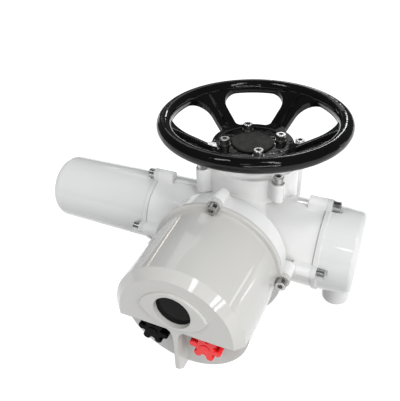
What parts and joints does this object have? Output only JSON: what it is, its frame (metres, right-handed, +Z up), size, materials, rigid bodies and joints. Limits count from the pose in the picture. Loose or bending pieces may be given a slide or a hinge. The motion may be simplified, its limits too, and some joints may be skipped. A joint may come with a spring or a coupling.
{
  "type": "electric valve actuator",
  "caption": "Multi-turn electric valve actuator with a top handwheel, side motor, terminal compartment, and a front control cover with window and two selector knobs.",
  "frame": {"origin": "centre of the mounting flange's underside, on the output column's axis", "axes": "+Z up along the output column, +X from the motor towards the terminal compartment, -Y towards the control cover and its window"},
  "size_m": [0.4524, 0.3748, 0.2515],
  "materials": {
    "body_enamel": "gloss light grey enamel",
    "steel": "machined steel",
    "stainless_screw": "stainless, satin",
    "bronze": "machined bronze",
    "brass": "machined brass",
    "copper_windings": "varnished copper windings",
    "laminated_steel": "stacked steel sheet",
    "seal_rubber": "nitrile rubber",
    "wheel_enamel": "gloss black enamel on cast iron",
    "cap_plastic": "matte dark olive grey",
    "knob_black": "gloss black",
    "knob_red": "gloss bright red",
    "window_glass": "dark tinted toughened glass",
    "board_green": "circuit board laminate",
    "dark_plastic": "moulded black plastic",
    "display_dark": "unlit display panel"
  },
  "bodies": {
    "casing": {"board_components": "dark_plastic", "board_pillars": "brass", "cable_entry_plug": "brass", "column_bearings": "steel", "column_oil_seal": "seal_rubber", "control_cover": "body_enamel", "control_cover_screws": "stainless_screw", "control_cover_seal": "seal_rubber", "display_board": "board_green", "display_screen": "display_dark", "gear_housing": "body_enamel", "hand_drive_bush": "bronze", "hand_drive_seal": "seal_rubber", "lever_return_spring": "steel", "main_circuit_board": "board_green", "motor_contactor": "dark_plastic", "motor_cover": "body_enamel", "motor_cover_screws": "stainless_screw", "motor_cover_seal": "seal_rubber", "motor_shaft_seal": "seal_rubber", "motor_stator": "laminated_steel", "motor_windings": "copper_windings", "mounting_base": "body_enamel", "mounting_base_screws": "stainless_screw", "position_sensor": "dark_plastic", "power_transformer": "laminated_steel", "selector_pins": "steel", "selector_sensor_board": "board_green", "terminal_block": "dark_plastic", "terminal_cover": "body_enamel", "terminal_cover_screws": "stainless_screw", "terminal_cover_seal": "seal_rubber", "terminal_studs": "brass", "thrust_disc_springs": "steel", "top_cover": "body_enamel", "top_cover_screws": "stainless_screw", "top_cover_seal": "seal_rubber", "window_glass": "window_glass", "window_retainer": "steel", "worm_end_cap": "steel", "worm_shaft_bearings": "steel"},
    "output": {"output_sleeve": "steel", "worm_wheel": "bronze", "position_magnet_ring": "dark_plastic", "drive_bush": "bronze"},
    "worm": {"worm_shaft": "steel", "motor_rotor": "laminated_steel"},
    "hand_drive": {"handwheel": "wheel_enamel", "handwheel_screws": "stainless_screw", "handwheel_spring_washers": "stainless_screw", "handwheel_cap": "cap_plastic", "hand_drive_hub": "steel", "hand_clutch_driver": "steel"},
    "clutch": {"clutch_ring": "steel"},
    "lever": {"lever_shaft": "steel", "hand_auto_lever": "wheel_enamel"},
    "black_selector": {"selector_knob_black": "knob_black", "black_selector_magnet": "steel"},
    "red_selector": {"selector_knob_red": "knob_red", "red_selector_magnet": "steel"}
  },
  "joints": [
    {"name": "worm_spin", "type": "hinge", "parent": "casing", "child": "worm", "pos_m": [0, -0.038, 0.098], "axis": [1, 0, 0], "continuous": true},
    {"name": "output_spin", "type": "hinge", "parent": "casing", "child": "output", "pos_m": [0, 0, 0.098], "axis": [0, 0, 1], "continuous": true},
    {"name": "handwheel_spin", "type": "hinge", "parent": "casing", "child": "hand_drive", "pos_m": [0, 0, 0.18], "axis": [0, 0, 1], "continuous": true},
    {"name": "lever_turn", "type": "hinge", "parent": "casing", "child": "lever", "pos_m": [0.01, 0.06, 0.153], "axis": [0, 1, 0], "range_deg": [0, 28.07], "stiffness_Nm_per_rad": 0.3, "springref_deg": -5.73},
    {"name": "clutch_slide", "type": "slide", "parent": "output", "child": "clutch", "axis": [0, 0, 1], "range_m": [0, 0.005]},
    {"name": "black_selector_turn", "type": "hinge", "parent": "casing", "child": "black_selector", "pos_m": [-0.032, -0.238, 0.0833], "axis": [0, -1, 0], "range_deg": [-45, 45], "stiffness_Nm_per_rad": 0.1},
    {"name": "red_selector_turn", "type": "hinge", "parent": "casing", "child": "red_selector", "pos_m": [0.032, -0.238, 0.0833], "axis": [0, -1, 0], "range_deg": [-60, 60]}
  ],
  "couplings": [
    {"joint": "output_spin", "follows": "worm_spin", "ratio": -0.026316},
    {"joint": "clutch_slide", "follows": "lever_turn", "m_per_rad": 0.010205}
  ]
}
